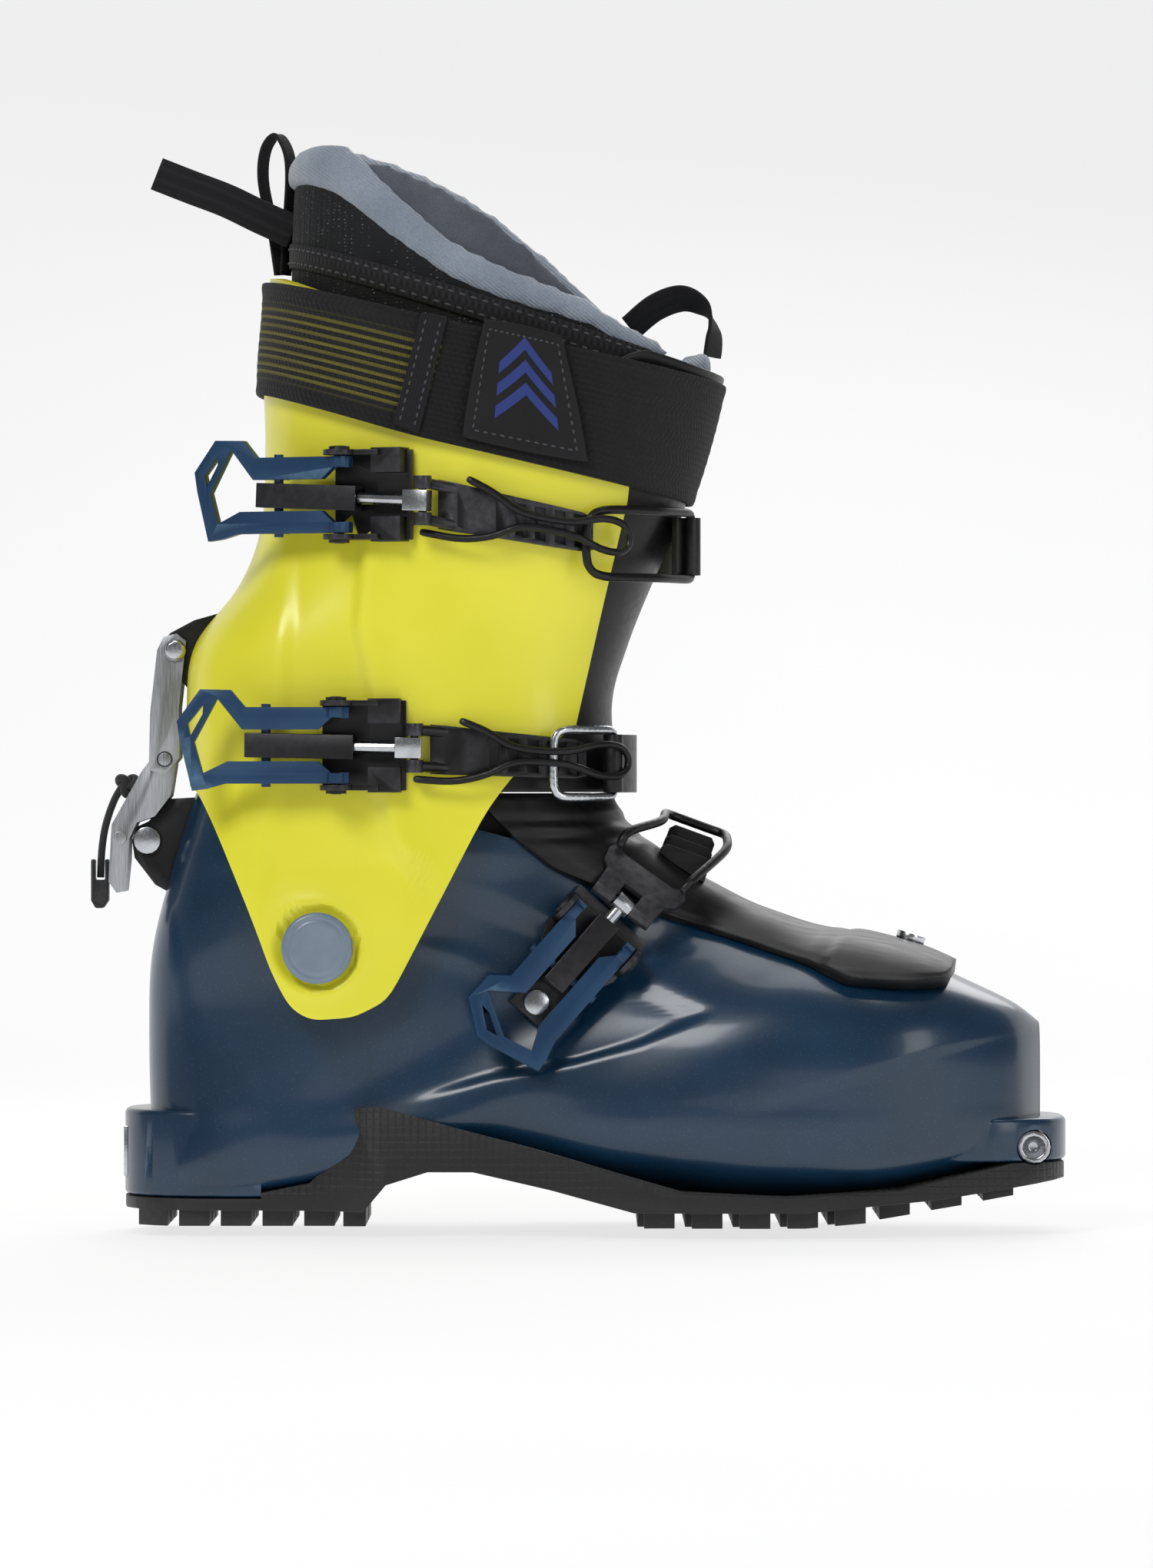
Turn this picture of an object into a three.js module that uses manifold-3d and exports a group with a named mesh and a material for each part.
// A ski touring boot for the right foot: a hinged cuff on a hollow lower shell, with a flexing tongue,
// a removable liner, three toggle buckles, a strap, a rubber outsole and a ski/walk lock at the heel.
// Millimetres, +Z up, +X towards the toe, -Y the outer side of the foot.
// The origin is under the centre of the heel, on the plane that the boot stands on.
import * as THREE from "three";
import { mergeVertices } from "three/addons/utils/BufferGeometryUtils.js";
import Module from "manifold-3d";

const wasm = await Module();
wasm.setup();

// ---- driving dimensions -------------------------------------------------------------------------
const soleLength = 296; // heel edge to toe edge, as moulded on the shell
const heelEdge = -36; // x of the heel's rear edge
const soleWidth = 69; // platform width at heel and toe, as bindings need it
const platformTop = 36; // height of the ledge that a binding clamps
const forefootHalf = 54; // half the shell's width at the ball of the foot
const ankleHalf = 42.5; // half the shell's width at the ankle
const pivotForward = 26; // ankle pivot, from the origin
const pivotHeight = 87;
const pivotRadius = 7; // boss that the cuff turns on
const cuffTop = 297; // height of the cuff's rear edge
const linerTop = 341; // height of the liner's collar at the rear
const shellWall = 4;
const cuffWall = 3.6;
const tongueWall = 2.8;
const linerWall = 6;
const strapThickness = 2.6;
const strapWidth = 39;
const gap = 0.4; // between pieces that touch
const wingClearance = 1.2; // between the cuff's wings and what turns inside them
const soleRubber = 5; // under the heel and the ball, without the lugs
const lugDepth = 5;
const ringSides = 24; // sides of a section round the foot or leg

// ---- materials ----------------------------------------------------------------------------------
const material = (colour, roughness, metalness = 0) =>
  new THREE.MeshStandardMaterial({ color: colour, roughness, metalness });
const bluePlastic = material(0x1f4560, 0.4);
const yellowPlastic = material(0xe4e13a, 0.35);
const blackPlastic = material(0x1d1d1e, 0.5);
const rubber = material(0x19191a, 0.8);
const webbing = material(0x161617, 0.9);
const foam = material(0x202124, 0.95);
const greyFoam = material(0x5a6577, 0.95);
const steel = material(0xc9ccd0, 0.25, 1);
const grayAlloy = material(0x8d8c8a, 0.4, 1);
const blueAlloy = material(0x1d4663, 0.35, 0.6);
const blackAlloy = material(0x18181a, 0.4, 0.6);

// ---- solids -------------------------------------------------------------------------------------
const point = (x, y, z) => new THREE.Vector3(x, y, z);

function solid(geometry) {
  const bare = geometry.clone();
  bare.deleteAttribute("normal");
  bare.deleteAttribute("uv");
  const merged = mergeVertices(bare, 1e-4);
  const made = (triVerts) =>
    new wasm.Manifold(
      new wasm.Mesh({ numProp: 3, vertProperties: merged.attributes.position.array, triVerts }),
    );
  const first = made(new Uint32Array(merged.index.array));
  return first.volume() < 0 ? made(new Uint32Array(merged.index.array).reverse()) : first;
}

function geometryOf(body) {
  const mesh = body.getMesh();
  const position = new Float32Array(mesh.numVert * 3);
  for (let i = 0; i < mesh.numVert; i++) {
    position.set(mesh.vertProperties.subarray(i * mesh.numProp, i * mesh.numProp + 3), 3 * i);
  }
  return new THREE.BufferGeometry()
    .setAttribute("position", new THREE.BufferAttribute(position, 3))
    .setIndex(new THREE.BufferAttribute(new Uint32Array(mesh.triVerts), 1));
}

const joined = (...bodies) => bodies.reduce((a, b) => a.add(b));
const cut = (from, ...bodies) => bodies.reduce((a, b) => a.subtract(b), from);

// A closed skin through rings of equal count, with a fan over each end.
function loft(rings) {
  const n = rings[0].length;
  const all = rings.flat();
  const middle = (ring) => ring.reduce((a, p) => a.add(p), point(0, 0, 0)).divideScalar(n);
  const first = all.length;
  all.push(middle(rings[0]), middle(rings.at(-1)));
  const index = [];
  rings.slice(1).forEach((_, r) => {
    for (let i = 0; i < n; i++) {
      const a = r * n + i;
      const b = r * n + ((i + 1) % n);
      index.push(a, b, b + n, a, b + n, a + n);
    }
  });
  const last = (rings.length - 1) * n;
  for (let i = 0; i < n; i++) {
    index.push(first, (i + 1) % n, i, first + 1, last + i, last + ((i + 1) % n));
  }
  const geometry = new THREE.BufferGeometry();
  geometry.setAttribute(
    "position",
    new THREE.Float32BufferAttribute(all.flatMap((p) => [p.x, p.y, p.z]), 3),
  );
  return solid(geometry.setIndex(index));
}

// A side outline, as [x, z] points, carried across the boot from y = from to y = to.
function prism(outline, from, to, round = 0) {
  const shape = new THREE.Shape(outline.map(([x, z]) => new THREE.Vector2(x, z)));
  const bevel = { bevelEnabled: round > 0, bevelSize: round, bevelThickness: round, bevelSegments: 1 };
  const depth = to - from - 2 * round;
  const geometry = new THREE.ExtrudeGeometry(shape, { depth, curveSegments: 6, ...bevel });
  return solid(geometry.translate(0, 0, round).rotateX(Math.PI / 2).translate(0, to, 0));
}

function box(low, high) {
  const size = high.clone().sub(low);
  const middle = low.clone().add(high).divideScalar(2);
  return solid(new THREE.BoxGeometry(size.x, size.y, size.z).translate(...middle));
}

function cylinder(from, to, radius, sides = 16, endRadius = radius) {
  const along = to.clone().sub(from);
  const geometry = new THREE.CylinderGeometry(endRadius, radius, along.length(), sides);
  const turn = new THREE.Quaternion().setFromUnitVectors(point(0, 1, 0), along.clone().normalize());
  const middle = from.clone().add(to).divideScalar(2);
  return solid(geometry.applyQuaternion(turn).translate(...middle));
}

// A round wire or cord along a smooth curve through its points.
function wire(points, radius, steps, sides = 8, tension = 0.5) {
  const path = new THREE.CatmullRomCurve3(points, false, "catmullrom", tension);
  const section = new THREE.Shape(
    Array.from({ length: sides }, (_, i) => {
      const turn = (2 * Math.PI * i) / sides;
      return new THREE.Vector2(radius * Math.cos(turn), radius * Math.sin(turn));
    }),
  );
  return solid(new THREE.ExtrudeGeometry(section, { steps, extrudePath: path }));
}

// ---- sections round the foot and the leg --------------------------------------------------------
// A station is a section seen from the side: rear is its end at the heel or sole, front its end at
// the shin or instep. half is half its width, and the powers say how square it is at each end.
function splined(stations, steps, from = 0, to = 1) {
  const curve = (pick) => new THREE.SplineCurve(stations.map((s) => new THREE.Vector2(...pick(s))));
  const rear = curve((s) => s.rear);
  const front = curve((s) => s.front);
  const width = curve((s) => [s.half, 0]);
  const powers = curve((s) => s.powers);
  return Array.from({ length: steps + 1 }, (_, i) => {
    const t = from + ((to - from) * i) / steps;
    return {
      rear: rear.getPoint(t),
      front: front.getPoint(t),
      half: width.getPoint(t).x,
      powers: powers.getPoint(t),
    };
  });
}

const bent = (value, power) => Math.sign(value) * Math.abs(value) ** (2 / power);

function sectionRing(section, grow) {
  const axis = section.front.clone().sub(section.rear);
  const reach = axis.length() / 2 + grow;
  axis.normalize();
  const middle = section.front.clone().add(section.rear).divideScalar(2);
  return Array.from({ length: ringSides }, (_, i) => {
    const turn = (2 * Math.PI * i) / ringSides;
    const power = Math.cos(turn) < 0 ? section.powers.x : section.powers.y;
    const along = bent(Math.cos(turn), power) * reach;
    const across = bent(Math.sin(turn), power) * (section.half + grow);
    return point(middle.x + axis.x * along, across, middle.y + axis.y * along);
  });
}

const around = (sections, grow) => loft(sections.map((s) => sectionRing(s, grow)));

// The skin between two offsets of the same sections.
const skin = (sections, outer, inner) => around(sections, outer).subtract(around(sections, inner));

// Half the width of the surface at a place in the side view, where the sections reach it.
function halfWidthAt(sections, x, z, grow = 0) {
  const side = (s) =>
    (s.front.x - s.rear.x) * (z - s.rear.y) - (s.front.y - s.rear.y) * (x - s.rear.x);
  for (let i = 1; i < sections.length; i++) {
    const [a, b] = [sections[i - 1], sections[i]];
    if (side(a) * side(b) > 0) continue;
    const share = side(a) / (side(a) - side(b));
    const rear = a.rear.clone().lerp(b.rear, share);
    const front = a.front.clone().lerp(b.front, share);
    const reach = front.distanceTo(rear) / 2 + grow;
    const axis = front.clone().sub(rear).normalize();
    const middle = front.add(rear).divideScalar(2);
    const along = (new THREE.Vector2(x, z).sub(middle).dot(axis)) / reach;
    const power = along < 0 ? a.powers.x : a.powers.y;
    const half = THREE.MathUtils.lerp(a.half, b.half, share) + grow;
    return half * Math.max(0, 1 - Math.abs(along) ** power) ** (1 / power);
  }
  return 0;
}

const toeEdge = heelEdge + soleLength;
const footX = (share) => heelEdge + share * soleLength; // along the sole, from 0 at the heel
const legZ = (share) => pivotHeight + share * (cuffTop - pivotHeight); // up the cuff

// The lower shell's outside, from above the ankle, round the heel and out to the toe.
const shellStations = [
  { rear: [-4, 160], front: [112, 164], half: ankleHalf - 4, powers: [2.3, 2.3] },
  { rear: [-13, 137], front: [114, 137], half: ankleHalf - 2, powers: [2.4, 2.4] },
  { rear: [-21.5, 110], front: [118, 128], half: ankleHalf, powers: [2.6, 2.6] },
  { rear: [-27.5, 85], front: [footX(0.545), 120], half: ankleHalf, powers: [2.6, 2.6] },
  { rear: [-28.5, 60], front: [footX(0.585), 111], half: ankleHalf - 1, powers: [2.7, 2.6] },
  { rear: [-27.5, 30], front: [footX(0.62), 105], half: ankleHalf - 1, powers: [3.2, 2.5] },
  { rear: [-24, 8], front: [footX(0.655), 99.5], half: ankleHalf - 1, powers: [4, 2.4] },
  { rear: [14, 9], front: [footX(0.69), 95.5], half: ankleHalf + 2, powers: [3.6, 2.4] },
  { rear: [footX(0.34), 19], front: [footX(0.725), 92], half: ankleHalf + 5, powers: [3.2, 2.3] },
  { rear: [footX(0.5), 13], front: [footX(0.76), 89.5], half: forefootHalf - 1, powers: [3.4, 2.3] },
  { rear: [footX(0.65), 8], front: [footX(0.8), 86.5], half: forefootHalf, powers: [3.6, 2.3] },
  { rear: [footX(0.78), 10], front: [footX(0.85), 82], half: forefootHalf - 3, powers: [3.8, 2.5] },
  { rear: [footX(0.89), 16], front: [footX(0.9), 75.5], half: forefootHalf - 13, powers: [3.8, 3] },
  { rear: [footX(0.945), 20], front: [footX(0.945), 69], half: forefootHalf - 25, powers: [3.6, 3.4] },
  { rear: [footX(0.972), 24], front: [footX(0.972), 63], half: 11, powers: [3, 3] },
];
const shellSections = splined(shellStations, 22);

// The cuff's outside, from under the pivot to above its top. The liner goes higher up the same leg.
const legStation = (share, rear, front, half, power) => ({
  rear: [rear, legZ(share)],
  front: [front, legZ(share)],
  half,
  powers: [power, power],
});
const cuffHalf = ankleHalf + tongueWall + wingClearance + gap + cuffWall;
const legStations = [
  legStation(-0.16, -24, 126, cuffHalf, 3.8),
  legStation(0.1, -22, 125, cuffHalf, 3.6),
  legStation(0.24, -15.5, 123.5, cuffHalf, 3.2),
  legStation(0.36, -16.6, 121.5, cuffHalf + 0.5, 2.8),
  legStation(0.45, -14, 126.5, cuffHalf + 1, 2.6),
  legStation(0.54, 0, 134, cuffHalf + 1.5, 2.5),
  legStation(0.63, 6.8, 142.5, cuffHalf + 2.5, 2.4),
  legStation(0.75, 8, 150.5, cuffHalf + 4, 2.3),
  legStation(0.87, 7.5, 156.5, cuffHalf + 6, 2.25),
  legStation(1.0, 9.5, 159, cuffHalf + 8, 2.2),
  legStation(1.25, 10, 163, cuffHalf + 8, 2.2),
];
const legSections = splined(legStations, 18);

const group = new THREE.Group();
function add(name, body, look) {
  const mesh = new THREE.Mesh(geometryOf(body), look);
  mesh.name = name;
  group.add(mesh);
  return body;
}

const farSide = 120; // beyond the boot on either side
const acrossBoot = (outline) => prism(outline, -farSide, farSide);

// ---- lower shell --------------------------------------------------------------------------------
const heelHalf = soleWidth / 2;
const planPrism = (outline, low, high) => {
  const shape = new THREE.Shape(outline.map(([x, y]) => new THREE.Vector2(x, y)));
  const geometry = new THREE.ExtrudeGeometry(shape, { depth: high - low, bevelEnabled: false });
  return solid(geometry.translate(0, 0, low));
};

// The plan of a platform: straight sides and an end rounded as half a superellipse.
function platformPlan(root, end, half, power, steps = 12) {
  return Array.from({ length: steps + 1 }, (_, i) => {
    const turn = -Math.PI / 2 + (Math.PI * i) / steps;
    return [root + bent(Math.cos(turn), power) * (end - root), bent(Math.sin(turn), power) * half];
  });
}
const heelPlan = (grow) => platformPlan(8, heelEdge - grow, heelHalf + grow, 2.7);
const toePlan = (grow) => platformPlan(footX(0.83), toeEdge + grow, heelHalf + 3 + grow, 3);
const shellFloor = soleRubber + lugDepth - 1; // the shell's underside at the heel

const spineTop = pivotHeight + 48;
const collarTop = pivotHeight + 37.5;
// What is kept of the shell, seen from the side: a spine behind the heel, a low collar, and the edge
// of the opening that the tongue covers.
const shellOutline = [
  [-60, spineTop],
  [-8.5, spineTop],
  [-6.5, collarTop],
  [72, collarTop],
  [footX(0.475), 116],
  [footX(0.6), 105],
  [footX(0.7), 94],
  [footX(0.74), 90],
  [footX(0.76), 110],
  [toeEdge + 20, 110],
  [toeEdge + 20, 0],
  [-60, 0],
];
const shellSolid = (grow) =>
  joined(
    around(shellSections, grow),
    planPrism(heelPlan(grow), shellFloor - grow, platformTop + grow),
    planPrism(toePlan(grow), shellFloor + 11 - grow, platformTop - 2.5 + grow),
  );
const footCavity = around(shellSections.slice(0, -2), -shellWall);
const toeFitting = { x: footX(0.962), z: 24.4, radius: 5.2, half: heelHalf - 6.5 };
const heelFitting = { low: 14.6, high: 30.5, half: 12, depth: 7 };
const lowerShell = cut(
  shellSolid(0).intersect(acrossBoot(shellOutline)),
  footCavity,
  cylinder(
    point(toeFitting.x, -farSide, toeFitting.z),
    point(toeFitting.x, farSide, toeFitting.z),
    toeFitting.radius + gap,
    16,
  ),
  prism(
    [
      [heelEdge - 5, heelFitting.low - gap],
      [heelEdge + heelFitting.depth + gap, heelFitting.low - gap],
      [heelEdge + heelFitting.depth + gap, heelFitting.high + gap],
      [heelEdge - 5, heelFitting.high + gap],
    ],
    -heelFitting.half - gap,
    heelFitting.half + gap,
  ),
);
const shellPiece = add("lower_shell", lowerShell, bluePlastic);
const outsideShell = shellSolid(gap);

// ---- outsole ------------------------------------------------------------------------------------
const archFront = footX(0.53);
const mirrored = (plan) => [...plan, ...plan.map(([x, y]) => [x, -y]).reverse()];
const wholePlan = mirrored([
  ...heelPlan(0).slice(6),
  [24, heelHalf + 1.5],
  [46, ankleHalf + 3.5],
  [footX(0.45), ankleHalf + 5.5],
  [footX(0.62), forefootHalf - 1],
  [footX(0.72), forefootHalf - 2.5],
  [footX(0.8), forefootHalf - 10],
  ...toePlan(0).slice(7, -1).reverse(),
]);
const soleTop = [
  [toeEdge + 5, 25],
  [footX(0.82), 11.5],
  [footX(0.7), 9.5],
  [footX(0.59), 11],
  [footX(0.45), 23.5],
  [58, 34],
  [46, 37.5],
  [25, 36.5],
  [21, 33],
  [28, 18.5],
  [23, 13.5],
  [5, 9.8],
  [heelEdge - 5, 9.8],
];
const soleUnder = [
  [heelEdge - 5, lugDepth],
  [40, lugDepth],
  [47, 13.4],
  [60, 17.5],
  [74, 17.5],
  [98, 12],
  [archFront + 3, lugDepth],
  [footX(0.72), lugDepth],
  [footX(0.86), lugDepth + 3.5],
  [toeEdge + 5, 15.5],
];
const groundLine = [
  [heelEdge - 5, 4],
  [heelEdge + 4, 0],
  [footX(0.72), 0],
  [footX(0.8), 2],
  [footX(0.9), 7],
  [toeEdge + 5, 13.4],
];
const lug = (x, y, long, wide) =>
  box(point(x - long / 2, y - wide / 2, -1), point(x + long / 2, y + wide / 2, 22));
const lugs = [];
for (const x of [-26, -13, 0, 13, 26]) {
  for (const y of [-22.5, 0, 22.5]) lugs.push(lug(x, y, 9.5, y ? 16 : 18));
}
lugs.push(lug(37, -18, 7, 30), lug(37, 18, 7, 30));
[0.56, 0.61, 0.66, 0.71, 0.76, 0.815, 0.87, 0.925].forEach((share, i) => {
  const wide = i < 5 ? 34 - Math.abs(i - 2) : 27 - 3 * (i - 5);
  for (const side of [-1, 1]) {
    lugs.push(lug(footX(share), side * (3 + wide / 2), 9.5, wide));
    if (i < 5) lugs.push(lug(footX(share) + 2, side * (wide + 9), 9.5, 8));
  }
});
const soleCut = acrossBoot([...soleTop, ...soleUnder]).intersect(planPrism(wholePlan, -2, 45));
const lugBand = acrossBoot([...[...groundLine].reverse(), ...soleUnder]);
const outsole = add(
  "outsole",
  joined(soleCut, joined(...lugs).intersect(lugBand).intersect(planPrism(wholePlan, -2, 45)))
    .subtract(outsideShell)
    .subtract(
      cylinder(
        point(toeFitting.x, -farSide, toeFitting.z),
        point(toeFitting.x, farSide, toeFitting.z),
        toeFitting.radius + gap,
        16,
      ),
    ),
  rubber,
);

// ---- insole board and liner ---------------------------------------------------------------------
const innerShell = shellSections.slice(2, -3);
const boardTop = [
  [-30, 18],
  [16, 19],
  [footX(0.34), 28],
  [footX(0.5), 23.5],
  [footX(0.65), 18.5],
  [footX(0.78), 20],
  [footX(0.92), 27],
];
const under = (line, raise, low) => [
  ...line.map(([x, z]) => [x, z + raise]),
  [line.at(-1)[0], low],
  [line[0][0], low],
];
add(
  "boot_board",
  around(innerShell, -shellWall - gap).intersect(acrossBoot(under(boardTop, 0, 0))),
  foam,
);
const linerSplit = spineTop + 1.5; // where the liner's shaft meets its foot
const footLiner = around(shellSections.slice(1, -4), -shellWall - gap)
  .subtract(around(shellSections.slice(0, -5), -shellWall - linerWall))
  .subtract(acrossBoot(under(boardTop, gap, 0)))
  .subtract(acrossBoot([[-60, linerSplit - 1.7], [280, linerSplit - 1.7], [280, 300], [-60, 300]]));
add("liner_foot", footLiner, foam);

// ---- tongue -------------------------------------------------------------------------------------
const tongueBelow = [
  [77, 130],
  [88, 119],
  [98, 111],
  [footX(0.575), 95.5],
  [footX(0.66), 87.5],
  [footX(0.72), 81.5],
  [footX(0.762), 75],
  [footX(0.876), 73],
  [footX(0.888), 80],
  [footX(0.872), 120],
  [77, 150],
];
const toeSlot = { x: footX(0.835), z: 84, long: 10 };
const tongueLower = skin(shellSections, gap + tongueWall, gap)
  .intersect(acrossBoot(tongueBelow))
  .intersect(acrossBoot([[70, 60], [70, 134], [240, 134], [240, 60]]));
const toeScrewTop = 93;
const toeScrewHole = cylinder(point(toeSlot.x, 0, 60), point(toeSlot.x, 0, 110), 3.4, 12);
const tongueWithHole = tongueLower.subtract(
  box(point(toeSlot.x - 6, -3.6, 70), point(toeSlot.x + 6, 3.6, 110)),
);

// ---- cuff ---------------------------------------------------------------------------------------
const cuffOutline = [
  [-30, 310],
  [-30, spineTop + 2.5],
  [-13, spineTop + 2.5],
  [-6, 124],
  [4, 100],
  [12, 79],
  [17, 68.5],
  [24, 64.6],
  [37, 65.5],
  [48, 71],
  [78, 129],
  [87, 141],
  [106, 156],
  [114.6, 194],
  [121.9, 225],
  [126, 261],
  [30, cuffTop - 8.5],
  [9, cuffTop],
];
const pivotHole = cylinder(
  point(pivotForward, -farSide, pivotHeight),
  point(pivotForward, farSide, pivotHeight),
  pivotRadius + gap,
  20,
);
const cuffSections = legSections.slice(0, -3);
// The lock on the shell's spine passes through a notch in the cuff's rear edge as the cuff leans back.
const spineNotch = { half: 8.2, top: spineTop + 12.5 };
const cuffBody = cut(
  skin(legSections, 0, -cuffWall).intersect(acrossBoot(cuffOutline)),
  pivotHole,
  box(point(-60, -spineNotch.half, 60), point(10, spineNotch.half, spineNotch.top)),
);

const shinInside = cuffWall + gap + 0.2;
const shinOutline = [
  [77, 137],
  [110, 134.8],
  [140, 134.8],
  [175, 260],
  [150, 266],
  [126, 273],
  [104, 262],
  [92, 200],
];
const tongueShin = skin(legSections, -shinInside, -shinInside - tongueWall).intersect(
  acrossBoot(shinOutline),
);
add("tongue_instep", tongueWithHole, blackPlastic);
const cuffPiece = add("cuff_shell", cuffBody, yellowPlastic);
add("tongue_shin", tongueShin, blackPlastic);

// ---- liner shaft --------------------------------------------------------------------------------
const linerOutside = shinInside + tongueWall + gap;
const collarFront = [
  [118, 285],
  [124, 280],
  [148, 271],
  [170, 268],
  [170, linerSplit],
  [-30, linerSplit],
];
const collarOuter = [
  [-30, linerTop - 5],
  [17, linerTop - 4],
  [22, linerTop - 1],
  [30, linerTop],
  [36, linerTop - 3],
  [49, linerTop - 17],
  [67, linerTop - 33.5],
  [82, linerTop - 41],
  [98, linerTop - 48],
  [110, linerTop - 51.5],
  ...collarFront,
];
const collarInner = [
  [-30, linerTop - 5],
  [17, linerTop - 4],
  [22, linerTop - 1],
  [30, linerTop],
  [46, linerTop - 7],
  [62, linerTop - 14],
  [78, linerTop - 23.5],
  [94, linerTop - 36],
  [108, linerTop - 49],
  ...collarFront,
];
const linerShaft = skin(legSections, -linerOutside, -linerOutside - linerWall);
add(
  "liner_shaft",
  joined(
    linerShaft.intersect(prism(collarOuter, -farSide, 0)),
    linerShaft.intersect(prism(collarInner, -0.5, farSide)),
  ),
  foam,
);

// ---- power strap --------------------------------------------------------------------------------
const strapStations = legStations.slice(5).map(({ rear, front, half, powers }) => ({
  rear,
  front: [front[0] - shinInside, front[1]],
  half: half + 1.2,
  powers: [powers[0] + 0.15, powers[1] + 0.15],
}));
const strapSections = splined(strapStations, 9);
const strapBand = [
  [-10, 300.2],
  [67, 280.5],
  [170, 259],
  [163, 259 - strapWidth],
  [57, 280.5 - strapWidth * 0.92],
  [-12, 300.2 - strapWidth * 0.9],
];
const strapCover = gap + strapThickness;
const strap = add(
  "power_strap",
  skin(strapSections, strapCover, gap).intersect(acrossBoot(strapBand)),
  webbing,
);

// ---- frames for the hardware --------------------------------------------------------------------
// The leg's outside at height z: turn 0 is the middle of the outer side and 90 degrees is the shin.
function onLeg(z, turn, off = 0) {
  const i = legSections.findIndex((s) => s.rear.y > z);
  const [a, b] = [legSections[i - 1], legSections[i]];
  const share = (z - a.rear.y) / (b.rear.y - a.rear.y);
  const mix = (pick) => THREE.MathUtils.lerp(pick(a), pick(b), share);
  const power = mix((s) => s.powers.x);
  const middle = mix((s) => (s.rear.x + s.front.x) / 2);
  const reach = mix((s) => (s.front.x - s.rear.x) / 2);
  const half = mix((s) => s.half);
  const [along, across] = [bent(Math.sin(turn), power), bent(-Math.cos(turn), power)];
  const normal = point(
    (Math.sign(along) * Math.abs(along) ** (power - 1)) / reach,
    (Math.sign(across) * Math.abs(across) ** (power - 1)) / half,
    0,
  ).normalize();
  return { at: point(middle + along * reach, across * half, z).addScaledVector(normal, off), normal };
}
function turnAt(z, x) {
  let [low, high] = [-Math.PI / 2, Math.PI / 2];
  for (let i = 0; i < 40; i++) {
    const middle = (low + high) / 2;
    if (onLeg(z, middle).at.x < x) low = middle;
    else high = middle;
  }
  return low;
}

// A strip along the leg: each row is a turn, its height z, half its height, and where it starts and
// ends above the leg's outside.
function strip(rows) {
  return loft(
    rows.map(([turn, z, half, low, high]) => {
      const inner = onLeg(z, turn, low).at;
      const outer = onLeg(z, turn, high).at;
      const at = (p, rise) => point(p.x, p.y, p.z + rise);
      return [at(inner, -half), at(outer, -half), at(outer, half), at(inner, half)];
    }),
  );
}

// A frame with u along the pull of a buckle, v across it and n away from the boot.
// The frame keeps n exactly and turns u into its plane, or keeps u where the pull's line matters.
function frameOf(origin, u, n, keep = "n") {
  const v = n.clone().cross(u).normalize();
  const along = keep === "n" ? v.clone().cross(n).normalize() : u.clone().normalize();
  return new THREE.Matrix4().makeBasis(along, v, along.clone().cross(v)).setPosition(origin);
}
const placed = (body, frame) => body.transform(frame.elements);
const inFrame = (frame, u, v, n) => point(u, v, n).applyMatrix4(frame);
function plate(outline, low, high, holes = []) {
  const shape = new THREE.Shape(outline.map(([u, v]) => new THREE.Vector2(u, v)));
  for (const hole of holes) shape.holes.push(new THREE.Path(hole.map(([u, v]) => new THREE.Vector2(u, v))));
  const geometry = new THREE.ExtrudeGeometry(shape, { depth: high - low, bevelEnabled: false });
  return solid(geometry.translate(0, 0, low));
}
const rod = (u0, u1, radius, n) => cylinder(point(u0, 0, n), point(u1, 0, n), radius, 10);
const pinAcross = (v0, v1, radius, u, n, sides = 10) =>
  cylinder(point(u, v0, n), point(u, v1, n), radius, sides);

// ---- buckles ------------------------------------------------------------------------------------
// The lever turns on two pins at u = 0 and n = hingeRise. Its link pin is at u = -throw, and the rod
// from there to the rack passes under the hinge, so the closed lever is held shut over its centre.
const leverThickness = 3;
const hingeRise = 8.2;
const leverPin = 1.7;
const linkPin = 1.5;
const armOuter = 11.8;
const armInner = 4.9;
const earOuter = 13.9;
const leverOutline = [
  [4, armOuter],
  [-28, armOuter],
  [-32.5, 17.1],
  [-42, 17.3],
  [-49.2, 7.5],
  [-48.3, 1.6],
  [-44.5, -14],
  [-40, -13.4],
  [-34.3, -armOuter],
  [4, -armOuter],
  [4, -8.4],
  [-1.5, -8.4],
  [-5.5, -armInner],
  [-33.5, -armInner],
  [-41.2, -8.6],
  [-43.8, 1],
  [-36.6, 14.4],
  [-29, armInner],
  [-5.5, armInner],
  [-1.5, 8.4],
  [4, 8.4],
];
const leverSlot = [
  [-41, 12.6],
  [-45.8, 6.6],
  [-45, 2.9],
  [-41.2, 9.6],
];
function leverBody(linkAt, linkRise) {
  return plate(leverOutline, hingeRise - leverThickness / 2, hingeRise + leverThickness / 2, [leverSlot])
    .add(pinAcross(8.6, armOuter, 3.3, 0, hingeRise))
    .add(pinAcross(-armOuter, -8.6, 3.3, 0, hingeRise))
    .subtract(pinAcross(-20, 20, leverPin + gap, 0, hingeRise))
    .add(pinAcross(-armOuter - 1, armOuter + 1, linkPin, linkAt, linkRise))
    .add(
      box(point(linkAt - 2.4, armInner, linkRise - 2.4), point(linkAt + 2.4, armOuter, hingeRise)),
      )
    .add(
      box(point(linkAt - 2.4, -armOuter, linkRise - 2.4), point(linkAt + 2.4, -armInner, hingeRise)),
    );
}
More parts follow.
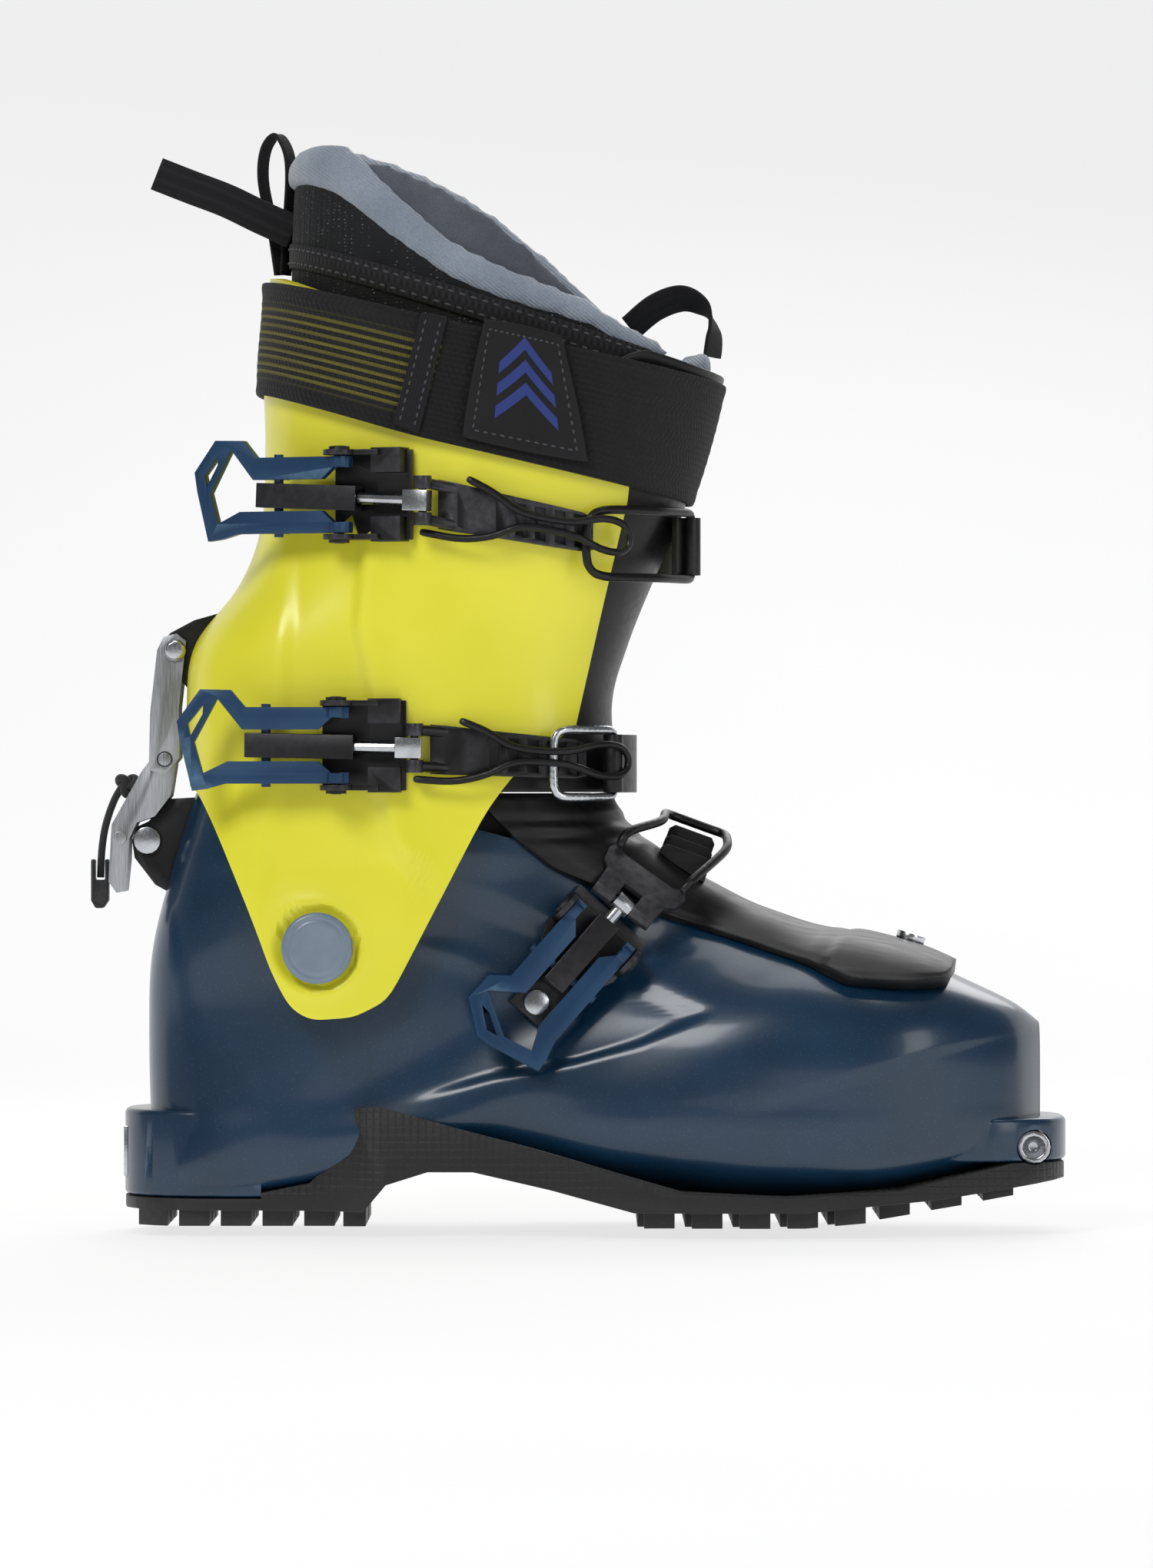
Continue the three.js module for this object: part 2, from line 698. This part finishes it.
function baseBody(floorLow, floorEnd) {
  const ear = (side) =>
    joined(
      box(
        point(-5, side > 0 ? armOuter + gap : -earOuter, floorLow),
        point(13, side > 0 ? earOuter : -armOuter - gap, hingeRise),
      ),
      pinAcross(side * (armOuter + gap), side * earOuter, 5, 0, hingeRise, 16),
      pinAcross(side * 8.9, side * (earOuter + 1.2), leverPin, 0, hingeRise),
      pinAcross(side * earOuter, side * (earOuter + 1), 3.3, 0, hingeRise),
      box(
        point(9.5, side > 0 ? 6.8 : -earOuter - 0.6, floorLow),
        point(19.5, side > 0 ? earOuter + 0.6 : -6.8, 5.6),
      ),
    );
  return joined(
    box(point(-5, -earOuter, floorLow), point(floorEnd, earOuter, floorLow + 1.8)),
    ear(1),
    ear(-1),
  );
}

function cuffBuckle(name, { x, z, drop, bailAt, anchorAt, anchorLead, eyeRise, look }) {
  const turn = turnAt(z, x);
  const { at, normal } = onLeg(z, turn);
  const frame = frameOf(at, point(-normal.y, normal.x, 0), normal);
  const ahead = (px) => z - Math.max(0, px - x - 12) * Math.tan(THREE.MathUtils.degToRad(drop));
  const linkAt = -22;
  const linkRise = 5.6;
  const link = inFrame(frame, linkAt, 0, linkRise);
  const eye = onLeg(z, turnAt(z, x + 23.5), eyeRise).at;
  eye.z = ahead(eye.x);
  const rodLength = eye.distanceTo(link);
  const rodFrame = frameOf(link, eye.clone().sub(link), normal, "u");
  const floor = -1.2;
  const clearCuff = cuffSolid;
  add(`${name}_base`, placed(baseBody(floor, 21), frame).subtract(clearCuff), blackAlloy);
  add(`${name}_lever`, placed(leverBody(linkAt, linkRise), frame), blueAlloy);
  const sleeveEnd = 27;
  add(
    `${name}_sleeve`,
    placed(
      cut(
        box(point(-6.5, -3.8, -3), point(sleeveEnd, 3.8, 3)),
        pinAcross(-10, 10, linkPin + gap, 0, 0),
        rod(8, sleeveEnd + 2, 2 + gap, 0),
      ),
      rodFrame,
    ),
    blackAlloy,
  );
  add(
    `${name}_rod`,
    placed(
      joined(
        rod(10, rodLength - 2, 2, 0),
        box(point(rodLength - 6, -3.2, -2.2), point(rodLength + 2.2, 3.2, 2.2)),
      ).subtract(pinAcross(-10, 10, 1.3 + gap, rodLength, 0)),
      rodFrame,
    ),
    steel,
  );
  const row = (px, half, low, high) => [turnAt(ahead(px), px), ahead(px), half, low, high];
  const forkLow = eye.x - 2.6;
  const knuckle = (side) =>
    cylinder(
      point(eye.x, eye.y, eye.z + side * 3.7),
      point(eye.x, eye.y, eye.z + side * 7.6),
      2.8,
      12,
    );
  let rack = joined(
    strip([
      row(forkLow + 7.4, 7.6, 0.8, 2.2),
      row(forkLow + 12, 7.6, 1.2, 3.6),
      row(forkLow + 19, 7.2, 1.2, 4.2),
      row(forkLow + 30, 6.8, 0.9, 4.2),
      row(forkLow + 42, 6.4, 0.8, 4.2),
      row(forkLow + 50.5, 6, 0.8, 4),
      row(forkLow + 54, 5, 0.8, 3),
    ]),
    knuckle(1),
    knuckle(-1),
    ...[1, -1].map((side) => {
      const foot = onLeg(ahead(eye.x + 10), turnAt(ahead(eye.x + 10), eye.x + 10), 2.2).at;
      return cylinder(
        point(eye.x, eye.y, eye.z + side * 5.6),
        point(foot.x, foot.y, foot.z + side * 5.6),
        1.7,
        10,
      );
    }),
    cylinder(point(eye.x, eye.y, eye.z - 7), point(eye.x, eye.y, eye.z + 7), 1.3, 10),
  );
  for (let i = 0; i < 5; i++) {
    const px = forkLow + 25 + 5.8 * i;
    rack = rack.subtract(
      strip([row(px, 5, 3, 9), row(px + 3.2, 5, 3, 9)]),
    );
  }
  add(`${name}_rack`, rack.subtract(clearCuff), blackAlloy);
  // The wire clip that keeps the bail on the rack.
  const wireAt = (px, rise, off) => {
    const p = onLeg(ahead(px), turnAt(ahead(px), px), off).at;
    return point(p.x, p.y, ahead(px) + rise);
  };
  add(
    `${name}_clip`,
    wire(
      [
        wireAt(eye.x, -9.6, 5.2),
        wireAt(eye.x + 12, -9.4, 6),
        wireAt(eye.x + 22, -6.5, 7.2),
        wireAt(eye.x + 30, -2.2, 7.8),
        wireAt(eye.x + 44, -2, 8.4),
        wireAt(eye.x + 52, -4.8, 8.4),
        wireAt(eye.x + 58, -4.4, 8),
        wireAt(eye.x + 60, 0, 8),
        wireAt(eye.x + 58, 4.4, 8),
        wireAt(eye.x + 52, 4.8, 8.4),
        wireAt(eye.x + 44, 2, 8.4),
        wireAt(eye.x + 30, 2.2, 7.8),
        wireAt(eye.x + 22, 6.5, 7.2),
        wireAt(eye.x + 14, 9.4, 6.4),
      ],
      0.9,
      34,
      6,
    ),
    blackAlloy,
  );
  // The bail's closed end lies over the rack, and its ends turn in the anchor.
  const low = ahead(bailAt + 12) - 1;
  const anchorTurn = turnAt(low, anchorAt);
  const bailTurn = turnAt(low, bailAt);
  const span = 10.4;
  const bailPoint = (share, rise, off) => {
    const p = onLeg(low, bailTurn + (anchorTurn - bailTurn) * share, off).at;
    return point(p.x, p.y, low + rise);
  };
  add(
    `${name}_bail`,
    wire(
      [
        bailPoint(1, 7.4, 4.2),
        bailPoint(0.98, span - 0.6, 4.2),
        bailPoint(0.85, span, 4.6),
        bailPoint(0.5, span, 5.4),
        bailPoint(0.12, span, 5.9),
        bailPoint(0, span - 2, 5.9),
        bailPoint(-0.02, 0, 5.9),
        bailPoint(0, 2 - span, 5.9),
        bailPoint(0.12, -span, 5.9),
        bailPoint(0.5, -span, 5.4),
        bailPoint(0.85, -span, 4.6),
        bailPoint(0.98, 0.6 - span, 4.2),
        bailPoint(1, -7.4, 4.2),
      ],
      1.15,
      36,
      6,
      0.3,
    ),
    look,
  );
  const pin = onLeg(low, anchorTurn, 4.2).at;
  const barrel = (from, to) => cylinder(point(pin.x, pin.y, low + from), point(pin.x, pin.y, low + to), 2.9, 12);
  const sweep = (from, to, count) =>
    Array.from({ length: count }, (_, i) => anchorTurn + from + ((to - from) * i) / (count - 1));
  add(
    `${name}_anchor`,
    joined(
      strip(sweep(anchorLead, 0.95, 8).map((t) => [t, low, 9, 0.6, 2.3])),
      barrel(-9, 9),
    )
      .subtract(cylinder(point(pin.x, pin.y, low - 12), point(pin.x, pin.y, low - 6.8), 2.5, 8))
      .subtract(cylinder(point(pin.x, pin.y, low + 6.8), point(pin.x, pin.y, low + 12), 2.5, 8)),
    blackPlastic,
  );
  return { frame, linkAt, linkRise, eye, pin };
}
const cuffSolid = around(legSections, gap).intersect(acrossBoot([[-30, 120], [170, 120], [170, 290], [-30, 290]]));
const upper = cuffBuckle("upper_buckle", {
  x: 36.2,
  z: pivotHeight + 140,
  drop: 11,
  bailAt: 108,
  anchorAt: 138,
  anchorLead: -0.16,
  eyeRise: 8.4,
  look: blackAlloy,
});
const lower = cuffBuckle("lower_buckle", {
  x: 32.6,
  z: pivotHeight + 62.6,
  drop: 4,
  bailAt: 97.5,
  anchorAt: 114.5,
  anchorLead: -0.02,
  eyeRise: 4.8,
  look: steel,
});

// ---- instep buckle ------------------------------------------------------------------------------
const rackSlope = THREE.MathUtils.degToRad(20); // the rack's top falls towards the toe
const rackFrame = frameOf(
  point(139, 0, 111.5),
  point(Math.cos(rackSlope), 0, -Math.sin(rackSlope)),
  point(Math.sin(rackSlope), 0, Math.cos(rackSlope)),
);
const instep = { x: 111.5, z: 90.5, turn: THREE.MathUtils.degToRad(48), throw: 16 };
const shellHalf = (x, z) => halfWidthAt(shellSections, x, z);
const onShell = (x, z) => point(x, -shellHalf(x, z), z);
{
  const u = point(Math.cos(instep.turn), 0, Math.sin(instep.turn));
  const at = (du, dv) =>
    onShell(instep.x + u.x * du - u.z * dv, instep.z + u.z * du + u.x * dv);
  const normal = at(-6, 8).sub(at(-6, -8)).cross(at(4, 0).sub(at(-16, 0))).normalize();
  if (normal.y > 0) normal.negate();
  const frame = frameOf(onShell(instep.x, instep.z), u, normal);
  instep.frame = frame;
  const linkAt = -instep.throw;
  const linkRise = 5.8;
  const link = inFrame(frame, linkAt, 0, linkRise);
  const eye = inFrame(frame, 12.5, 0, 4.8);
  const rodFrame = frameOf(link, eye.clone().sub(link), normal, "u");
  const rodLength = eye.distanceTo(link);
  instep.eye = eye;
  instep.link = link;
  const clearShell = joined(outsideShell, around(shellSections, gap + tongueWall + gap).intersect(acrossBoot(tongueBelow)));
  add(
    "instep_buckle_base",
    placed(
      joined(
        plate(
          [
            [9, -13.9],
            [9, 13.9],
            [-7, 13.9],
            [-24, 6.5],
            [-33, 6.5],
            [-33, -6.5],
            [-24, -6.5],
            [-7, -13.9],
          ],
          -2,
          1.6,
        ),
        ...[1, -1].flatMap((side) => [
          box(
            point(-5, side > 0 ? armOuter + gap : -earOuter, -2),
            point(5, side > 0 ? earOuter : -armOuter - gap, hingeRise),
          ),
          pinAcross(side * (armOuter + gap), side * earOuter, 5, 0, hingeRise, 16),
          pinAcross(side * 8.9, side * (earOuter + 1.2), leverPin, 0, hingeRise),
          pinAcross(side * earOuter, side * (earOuter + 1), 3.3, 0, hingeRise),
        ]),
      ),
      frame,
    ).subtract(clearShell),
    blackAlloy,
  );
  const screwFrame = [inFrame(frame, -28, 0, 2), inFrame(frame, -28, 0, 3.6)];
  add("instep_buckle_screw", cylinder(...screwFrame, 4, 16), steel);
  add("instep_buckle_lever", placed(leverBody(linkAt, linkRise), frame), blueAlloy);
  add(
    "instep_buckle_sleeve",
    placed(
      cut(
        box(point(-5.5, -3.8, -3), point(rodLength - 7, 3.8, 3)),
        pinAcross(-10, 10, linkPin + gap, 0, 0),
        rod(7, rodLength, 2 + gap, 0),
      ),
      rodFrame,
    ),
    blackAlloy,
  );
  add(
    "instep_buckle_rod",
    placed(
      cut(
        joined(
          rod(9, rodLength - 2, 2, 0),
          pinAcross(-2.9, 2.9, 3, rodLength, 0),
        ),
        pinAcross(-10, 10, 1.9, rodLength, 0),
      ),
      rodFrame,
    ),
    steel,
  );
  // The plate hangs on the rod's eye and carries the wire loop over the rack on the tongue.
  const loopFrame = frameOf(eye, point(0.5, 0.6, 0.6), point(0.32, -0.774, 0.557));
  instep.loopFrame = loopFrame;
  const fork = (side) => pinAcross(side * 3.4, side * 10.5, 2.5, 0, 0, 10);
  add(
    "instep_loop_plate",
    placed(
      joined(
        plate(
          [
            [0, -10.5],
            [0, -3.4],
            [5.5, -3.4],
            [5.5, 3.4],
            [0, 3.4],
            [0, 10.5],
            [7, 11],
            [9, 13.5],
            [14, 14.5],
            [17, 13],
            [15, 9],
            [15, -9],
            [17, -13],
            [14, -14.5],
            [9, -13.5],
            [7, -11],
          ],
          0.4,
          2.6,
        ),
        fork(1),
        fork(-1),
        pinAcross(-4, 4, 1.3, 0, 0, 10),
      ),
      loopFrame,
    ).subtract(clearShell),
    blackAlloy,
  );
  const over = (lu, lv, ln) => inFrame(loopFrame, lu, lv, ln);
  const rackPoint = (ahead, across, rise) => inFrame(rackFrame, ahead, across, rise);
  add(
    "instep_loop_wire",
    wire(
      [
        over(15, -12, 4.2),
        over(20, -12.6, 6),
        rackPoint(11, -14, 9.5),
        rackPoint(10.6, -5, 13.2),
        rackPoint(9.4, 1.6, 14.4),
        rackPoint(5, 3.4, 14.4),
        rackPoint(-5, 3.4, 14.4),
        rackPoint(-9.4, 1.6, 14.4),
        rackPoint(-10.6, -5, 14),
        rackPoint(-11, -14, 11.5),
        over(20, 12.6, 6),
        over(15, 12, 4.2),
      ],
      1.2,
      30,
      6,
    ),
    blackAlloy,
  );
}
const rackStep = (from, to, rise, half) =>
  prism(
    [
      [-half, -14],
      [half, -14],
      [half - 0.5, rise - 1.6],
      [half - 2, rise],
      [2 - half, rise],
      [0.5 - half, rise - 1.6],
    ],
    from,
    to,
  );
add(
  "instep_rack",
  joined(rackStep(-15, -9, 5.5, 8.6), rackStep(-9.5, -3, 8.6, 8.3), rackStep(-3.5, 8, 12, 8))
    .rotate([0, THREE.MathUtils.radToDeg(rackSlope), 0])
    .translate([139, 0, 111.5])
    .subtract(around(shellSections, gap + tongueWall + gap)),
  blackPlastic,
);

// ---- ski and walk lock --------------------------------------------------------------------------
const lockX = -20;
const lockZ = pivotHeight + 92.7;
const lockPinX = -29;
const lockPinZ = pivotHeight + 33;
const leverHingeX = -23.2;
const leverHingeZ = pivotHeight + 58.5;
const barHalf = 9.6;
const lockPlate = 1.8;
const rivetRadius = 2.6;
const acrossRound = (x, z, radius, half, sides = 16) =>
  cylinder(point(x, -half, z), point(x, half, z), radius, sides);

add(
  "cuff_bracket",
  cut(
    prism(
      [
        [-24.5, lockZ + 2],
        [-21.5, lockZ + 5.5],
        [-14, lockZ + 9.5],
        [2, lockZ + 14],
        [2, lockZ - 14],
        [-16, lockZ - 12],
        [-22, lockZ - 5],
        [-24.5, lockZ - 2],
      ],
      gap - barHalf,
      barHalf - gap,
    ),
    acrossRound(lockX, lockZ, rivetRadius + gap, 30),
    around(legSections, gap),
  ),
  blackPlastic,
);
add(
  "cuff_bracket_rivet",
  joined(
    acrossRound(lockX, lockZ, rivetRadius, barHalf + lockPlate + 1),
    ...[1, -1].map((side) =>
      cylinder(
        point(lockX, side * (barHalf + lockPlate + gap), lockZ),
        point(lockX, side * (barHalf + lockPlate + 2), lockZ),
        3.6,
        16,
        side > 0 ? 2.6 : 2.6,
      ),
    ),
  ),
  steel,
);
const barOutline = [
  [lockX + 3.5, lockZ + 3],
  [lockX + 0.5, lockZ + 5.2],
  [lockX - 3.6, lockZ + 4.2],
  [lockX - 5.6, lockZ],
  [lockX - 7.8, lockZ - 20],
  [leverHingeX - 5, leverHingeZ - 3.5],
  [leverHingeX + 0.5, leverHingeZ - 4.6],
  [leverHingeX + 4.6, leverHingeZ + 0.5],
  [lockX + 1.2, lockZ - 18],
];
const barBody = cut(
  prism(barOutline, -barHalf - lockPlate, barHalf + lockPlate, 0),
  prism(
    barOutline.map(([x, z]) => [x + 1.6, z]).map(([x, z], i) => (i >= 2 && i <= 5 ? [x, z] : [x + 12, z])).map(([x, z]) => [x, z]),
    -barHalf,
    barHalf,
  ),
  prism([[-60, lockZ - 6.5], [20, lockZ - 6.5], [20, lockZ + 20], [-60, lockZ + 20]], -barHalf, barHalf),
  prism([[-60, leverHingeZ + 5], [20, leverHingeZ + 5], [20, leverHingeZ - 20], [-60, leverHingeZ - 20]], -barHalf, barHalf),
  acrossRound(lockX, lockZ, rivetRadius + gap, 30),
  acrossRound(leverHingeX, leverHingeZ, 2.1 + gap, 30),
  around(legSections, gap),
);
add("walk_bar", barBody, grayAlloy);
const leverPlateInner = barHalf - lockPlate - gap;
const walkOutline = [
  [leverHingeX + 3.4, leverHingeZ - 1.5],
  [leverHingeX + 2, leverHingeZ + 3],
  [leverHingeX - 2, leverHingeZ + 3.4],
  [leverHingeX - 7.5, leverHingeZ - 4],
  [-40, 125],
  [-41, 107],
  [-38.5, 103.5],
  [-35.6, 104],
  [-34.6, 114],
  [-34.4, 120.5],
  [-32, 125.6],
  [-26.4, 127.5],
  [-21.4, 134],
  [-20.6, 139],
];
add(
  "walk_lever",
  cut(
    joined(
      prism(walkOutline, -leverPlateInner - lockPlate, leverPlateInner + lockPlate),
      acrossRound(leverHingeX, leverHingeZ, 2.1, barHalf + lockPlate + 0.6, 12),
      acrossRound(-37.3, 120.7, 2.1, leverPlateInner + lockPlate + 1, 12),
    ),
    prism(
      [
        [leverHingeX + 10, leverHingeZ + 12],
        [leverHingeX - 3.5, leverHingeZ + 12],
        [leverHingeX - 3.4, leverHingeZ - 1],
        [leverHingeX - 6.6, leverHingeZ - 6],
        [-38.4, 124.6],
        [-39.3, 107],
        [-39.3, 95],
        [-10, 95],
      ],
      -leverPlateInner,
      leverPlateInner,
    ),
  ).add(acrossRound(-37.3, 120.7, 2.1, leverPlateInner + 0.5, 12)).add(acrossRound(leverHingeX, leverHingeZ, 2.1, leverPlateInner + 0.5, 12)),
  grayAlloy,
);
const bracketHalf = 5.4;
const pinHalf = leverPlateInner - 0.5;
add(
  "shell_bracket",
  cut(
    prism(
      [
        [-26.5, 106],
        [-33, 114.5],
        [-33.8, 120],
        [-32, 124.4],
        [-28.5, 126],
        [-23, 133],
        [-5, 134],
        [-5, 103.5],
        [-22, 103.5],
      ],
      -bracketHalf,
      bracketHalf,
    ),
    acrossRound(lockPinX, lockPinZ, 3 + gap, 30),
    outsideShell,
  ),
  blackPlastic,
);
add(
  "lock_pin",
  joined(
    acrossRound(lockPinX, lockPinZ, 3, bracketHalf + 0.8),
    ...[1, -1].map((side) =>
      cylinder(
        point(lockPinX, side * (bracketHalf + gap), lockPinZ),
        point(lockPinX, side * pinHalf, lockPinZ),
        4.3,
        16,
      ),
    ),
  ),
  steel,
);

// ---- pivots, fittings, screws and loops ---------------------------------------------------------
for (const [name, side] of [
  ["outer", -1],
  ["inner", 1],
]) {
  const y = (off) => point(pivotForward, side * off, pivotHeight);
  const shellSide = shellHalf(pivotForward, pivotHeight);
  add(
    `cuff_pivot_${name}`,
    joined(
      cylinder(y(shellSide + 1), y(cuffHalf + 0.6), pivotRadius, 20),
      cylinder(y(cuffHalf + 0.4), y(cuffHalf + 2.6), 11.2, 24, side > 0 ? 10.4 : 10.4),
    ).subtract(outsideShell),
    blueAlloy,
  );
}
const socket = (side) =>
  cylinder(
    point(toeFitting.x, side * (toeFitting.half - 3.2), toeFitting.z),
    point(toeFitting.x, side * (toeFitting.half + 1), toeFitting.z),
    1.6,
    14,
    4.3,
  );
add(
  "toe_fitting",
  cut(
    cylinder(
      point(toeFitting.x, -toeFitting.half, toeFitting.z),
      point(toeFitting.x, toeFitting.half, toeFitting.z),
      toeFitting.radius,
      16,
    ),
    socket(1),
    socket(-1),
  ),
  steel,
);
add(
  "heel_fitting",
  cut(
    box(
      point(heelEdge, -heelFitting.half, heelFitting.low),
      point(heelEdge + heelFitting.depth, heelFitting.half, heelFitting.high),
    ),
    box(point(heelEdge - 1, -8.2, heelFitting.low - 1), point(heelEdge + 5, -4.4, heelFitting.high - 4)),
    box(point(heelEdge - 1, 4.4, heelFitting.low - 1), point(heelEdge + 5, 8.2, heelFitting.high - 4)),
  ),
  steel,
);
const slotTop = 88.2;
add(
  "tongue_screw",
  cut(
    joined(
      cylinder(point(toeSlot.x, 0, slotTop), point(toeSlot.x + 0.8, 0, slotTop + 2.4), 4.6, 16),
      cylinder(point(toeSlot.x - 2, 0, slotTop - 7), point(toeSlot.x, 0, slotTop), 2.6, 12),
    ),
    outsideShell,
  ),
  steel,
);

add(
  "strap_patch",
  skin(strapSections, strapCover + gap + 1.4, strapCover + gap).intersect(
    prism(
      [
        [77.5, 281.5],
        [102, 276],
        [110.5, 236],
        [70, 244],
      ],
      -farSide,
      0,
    ),
  ),
  rubber,
);
add(
  "rear_tab",
  prism(
    [
      [16.6, 306],
      [16.6, 317.5],
      [-4, 327],
      [-25.5, 335],
      [-27.3, 325],
      [-6, 316.5],
    ],
    -6.2,
    -3.6,
  ),
  webbing,
);
const band = (line, thickness) => {
  const curve = new THREE.SplineCurve(line.map(([x, z]) => new THREE.Vector2(x, z)));
  const sides = [[], []];
  for (let i = 0; i <= 14; i++) {
    const at = curve.getPoint(i / 14);
    const out = curve.getTangent(i / 14).rotateAround(new THREE.Vector2(), Math.PI / 2);
    sides[0].push([at.x + (out.x * thickness) / 2, at.y + (out.y * thickness) / 2]);
    sides[1].unshift([at.x - (out.x * thickness) / 2, at.y - (out.y * thickness) / 2]);
  }
  return [...sides[0], ...sides[1]];
};
add(
  "rear_loop",
  prism(
    band(
      [
        [12.4, 298.4],
        [10.2, 313],
        [7.2, 328],
        [8, 338],
        [11.7, 342.4],
        [15, 337.5],
        [15.9, 329],
        [15, 313],
        [14.2, 298.4],
      ],
      1.1,
    ),
    0.5,
    6.5,
  ),
  webbing,
);
add(
  "front_loop",
  prism(
    band(
      [
        [123, 281.4],
        [131, 288],
        [139.6, 290.8],
        [146.5, 287.5],
        [149.4, 281],
        [148.9, 272.3],
      ],
      1.5,
    ),
    -5.5,
    5.5,
  ),
  webbing,
);
add(
  "pull_cord",
  wire(
    [
      point(-35.8, 0, 139),
      point(-39.5, 0, 133),
      point(-42.3, 0, 125),
      point(-43.6, 0, 117),
      point(-44, 0, 108.2),
    ],
    1.2,
    10,
    8,
  ),
  webbing,
);
add(
  "cord_grip",
  prism(
    [
      [-46.8, 114],
      [-45.6, 114],
      [-45.6, 107.5],
      [-42.4, 107.5],
      [-42.4, 114],
      [-41.4, 114],
      [-41.4, 101],
      [-43, 98.6],
      [-45.4, 98.6],
      [-46.8, 101],
    ],
    -4.5,
    4.5,
  ),
  rubber,
);

export default group;
